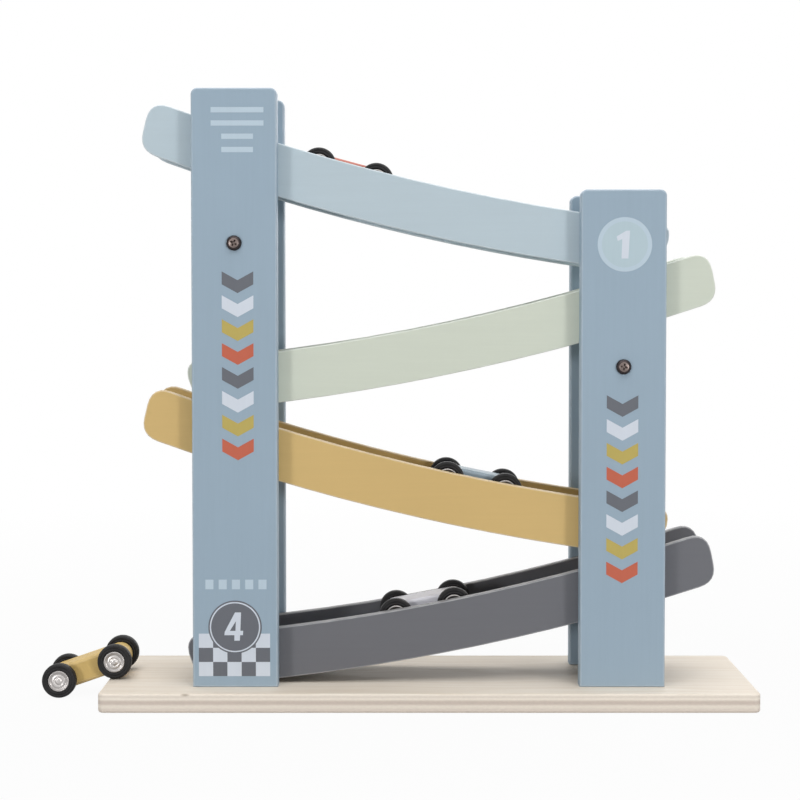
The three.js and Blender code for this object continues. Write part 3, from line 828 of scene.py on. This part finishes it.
class RacerPrints(bpy.types.Operator):
    """Chevrons, chequer, numbered discs and stripes printed on the front posts"""

    bl_idname = "racer.prints"
    bl_label = "Prints"

    def ink(self, name, shade, shapes, layer=0):
        """One colour of print on the front of the posts, as a thin skin for each shape."""
        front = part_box("post_front_left")[0].y
        thin = settings().sizes.print_thickness
        whole = bmesh.new()
        for outline in shapes:
            flat = [whole.verts.new((x * MM, front, z * MM)) for x, z in outline]
            whole.faces.new(flat)
        bmesh.ops.recalc_face_normals(whole, faces=whole.faces[:])
        raised = bmesh.ops.extrude_face_region(whole, geom=whole.faces[:])
        lift = [v for v in raised["geom"] if isinstance(v, bmesh.types.BMVert)]
        bmesh.ops.translate(whole, verts=lift, vec=(0, -thin * (layer + 1), 0))
        bmesh.ops.recalc_face_normals(whole, faces=whole.faces[:])
        finish = paint(f"{name} ink", shade, ALONG_Z)
        return stand(name, to_mesh(name, whole, finish, 30), ROOT_BODY)

    def bar(self, left, right, top, bottom):
        return [(left, top), (right, top), (right, bottom), (left, bottom)]

    def moved(self, outline, place):
        return [(place[0] + x, place[1] + z) for x, z in outline]

    def chevrons(self, place, inks):
        x, top = place
        sizes = settings().sizes
        half, drop = sizes.chevron_width / MM / 2, sizes.chevron_drop / MM
        side, pitch = sizes.chevron_side / MM, sizes.chevron_pitch / MM
        for i in range(CHEVRON_COUNT):
            z = top - i * pitch
            inks[i % 4].append([(x - half, z), (x, z - drop), (x + half, z), (x + half, z - side),
                                (x, z - drop - side), (x - half, z - side)])

    def execute(self, context):
        shades, sizes = settings().colours, settings().sizes
        inks = [[], [], [], []]
        self.chevrons(LEFT_CHEVRONS, inks)
        self.chevrons(RIGHT_CHEVRONS, inks)
        for name, shade, shapes in zip(
                ("grey_chevrons", "white_chevrons", "mustard_chevrons", "red_chevrons"),
                (shades.print_grey, shades.print_white, shades.print_mustard, shades.print_red), inks):
            self.ink(name, shade, shapes)
        side = sizes.square / MM
        squares = [[], []]
        for row in range(CHEQUER_ROWS):
            for column in range(CHEQUER_COLUMNS):
                x, z = CHEQUER_CORNER[0] + column * side, CHEQUER_CORNER[1] - row * side
                squares[(row + column) % 2].append(self.bar(x, x + side, z, z - side))
        self.ink("white_squares", shades.print_white, squares[0])
        self.ink("grey_squares", shades.print_grey, squares[1])
        radius = sizes.disc_radius / MM
        self.ink("lower_disc", shades.print_grey, [circle(*LOWER_DISC, radius)], 1)
        self.ink("lower_disc_ring", shades.print_white, [circle(*LOWER_DISC, radius - LOWER_RING_OUT)], 2)
        self.ink("lower_disc_fill", shades.print_grey, [circle(*LOWER_DISC, radius - LOWER_RING_IN)], 3)
        self.ink("number_four", shades.print_white, [self.moved(FOUR, LOWER_DISC)], 4)
        self.ink("number_four_counter", shades.print_grey, [self.moved(FOUR_COUNTER, LOWER_DISC)], 5)
        self.ink("upper_disc", shades.print_pale, [circle(*UPPER_DISC, radius + UPPER_RING_OUT)], 1)
        self.ink("upper_disc_fill", shades.print_blue, [circle(*UPPER_DISC, radius - UPPER_RING_IN)], 2)
        self.ink("number_one", shades.print_white, [self.moved(ONE, UPPER_DISC)], 3)
        stripes = [self.bar(STRIPES_X - half, STRIPES_X + half, z, z - STRIPE_HEIGHT) for half, z in STRIPES]
        dashes = [self.bar(x, x + DASH_LENGTH, DASH_TOP, DASH_BOTTOM) for x in DASHES_X]
        self.ink("stripes", shades.print_pale, stripes + dashes)
        return {"FINISHED"}


class RacerStage(bpy.types.Operator):
    """White floor and backdrop, soft lamps and the camera"""

    bl_idname = "racer.stage"
    bl_label = "Stage"

    def seen(self, tree):
        """1 for the rays that show the backdrop: from the camera, off gloss or through glass."""
        ray = tree.nodes.new("ShaderNodeLightPath").outputs
        mirrored = maths(tree, "MAXIMUM", ray["Is Glossy Ray"], ray["Is Transmission Ray"])
        return maths(tree, "MAXIMUM", ray["Is Camera Ray"], mirrored)

    def floor(self):
        """A white floor that keeps a faint shadow for the camera."""
        made = bpy.data.materials.new("Studio floor")
        made.use_nodes = True
        tree = made.node_tree
        tree.nodes.clear()
        seen = self.seen(tree)
        white = put(tree, "ShaderNodeBsdfDiffuse", {"Color": FLOOR_COLOUR}).outputs[0]
        glow = put(tree, "ShaderNodeEmission", {"Color": WHITE, "Strength": 1.0}).outputs[0]
        place = tree.nodes.new("ShaderNodeTexCoord").outputs["Object"]
        away = put(tree, "ShaderNodeVectorMath", {0: place}, operation="LENGTH").outputs["Value"]
        bright = remap(tree, away, 0.25, 0.9, 0.95, 1.0)
        shown = put(tree, "ShaderNodeMixShader", {0: bright, 1: white, 2: glow}).outputs[0]
        surface = put(tree, "ShaderNodeMixShader", {0: seen, 1: white, 2: shown}).outputs[0]
        put(tree, "ShaderNodeOutputMaterial", {"Surface": surface})
        bm = bmesh.new()
        bmesh.ops.create_grid(bm, x_segments=1, y_segments=1, size=FLOOR_HALF_SIZE)
        mesh = bpy.data.meshes.new("Floor")
        bm.to_mesh(mesh)
        bm.free()
        mesh.materials.append(made)
        floor = bpy.data.objects.new("Floor", mesh)
        floor.location.z = -FLOOR_DROP
        bpy.context.scene.collection.objects.link(floor)

    def world(self, scene):
        scene.world = bpy.data.worlds.new("Studio")
        scene.world.use_nodes = True
        tree = scene.world.node_tree
        tree.nodes.clear()
        seen = self.seen(tree)
        fill = put(tree, "ShaderNodeBackground", {"Color": WHITE, "Strength": FILL_STRENGTH}).outputs[0]
        white = put(tree, "ShaderNodeBackground", {"Color": WHITE, "Strength": 1.0}).outputs[0]
        both = put(tree, "ShaderNodeMixShader", {0: seen, 1: fill, 2: white}).outputs[0]
        put(tree, "ShaderNodeOutputWorld", {"Surface": both})

    def lamp(self, name, place, target, size, power):
        light = bpy.data.lights.new(name, "AREA")
        light.shape = "RECTANGLE"
        light.size, light.size_y = size
        light.energy = power
        made = bpy.data.objects.new(name, light)
        made.location = place
        made.rotation_euler = (Vector(target) - Vector(place)).to_track_quat("-Z", "Y").to_euler()
        bpy.context.scene.collection.objects.link(made)

    def execute(self, context):
        scene = context.scene
        scene.view_settings.view_transform = "Standard"
        self.floor()
        self.world(scene)
        for lamp in LAMPS:
            self.lamp(*lamp)
        camera = bpy.data.cameras.new("Camera")
        camera.sensor_width = CAMERA_SENSOR
        camera.lens = CAMERA_LENS
        camera.shift_x, camera.shift_y = CAMERA_SHIFT
        made = bpy.data.objects.new("Camera", camera)
        made.location = CAMERA_PLACE
        made.rotation_euler = (math.pi / 2 - CAMERA_DIP, 0, 0)
        scene.collection.objects.link(made)
        scene.camera = made
        return {"FINISHED"}


STEPS = (
    RacerBoard, RacerPosts, RacerTracks, RacerRods, RacerScrews, RacerCars, RacerWheels, RacerPrints,
    RacerStage)


class RacerPanel(bpy.types.Panel):
    """The racer's pieces and settings"""

    bl_idname = "VIEW3D_PT_ramp_racer"
    bl_label = "Ramp Racer"
    bl_space_type = "VIEW_3D"
    bl_region_type = "UI"
    bl_category = "Ramp Racer"

    def draw(self, context):
        for step in STEPS:
            self.layout.operator(step.bl_idname)
        for part in (context.scene.racer.colours, context.scene.racer.sizes):
            column = self.layout.column()
            for key in part.__annotations__:
                column.prop(part, key)


CLASSES = (RacerColours, RacerSizes, RacerSettings, *STEPS, RacerPanel)


def register():
    for cls in CLASSES:
        bpy.utils.register_class(cls)
    bpy.types.Scene.racer = PointerProperty(type=RacerSettings)


def unregister():
    del bpy.types.Scene.racer
    for cls in reversed(CLASSES):
        bpy.utils.unregister_class(cls)


def main():
    register()
    for step in STEPS:
        family, name = step.bl_idname.split(".")
        getattr(getattr(bpy.ops, family), name)()


if __name__ == "__main__":
    main()
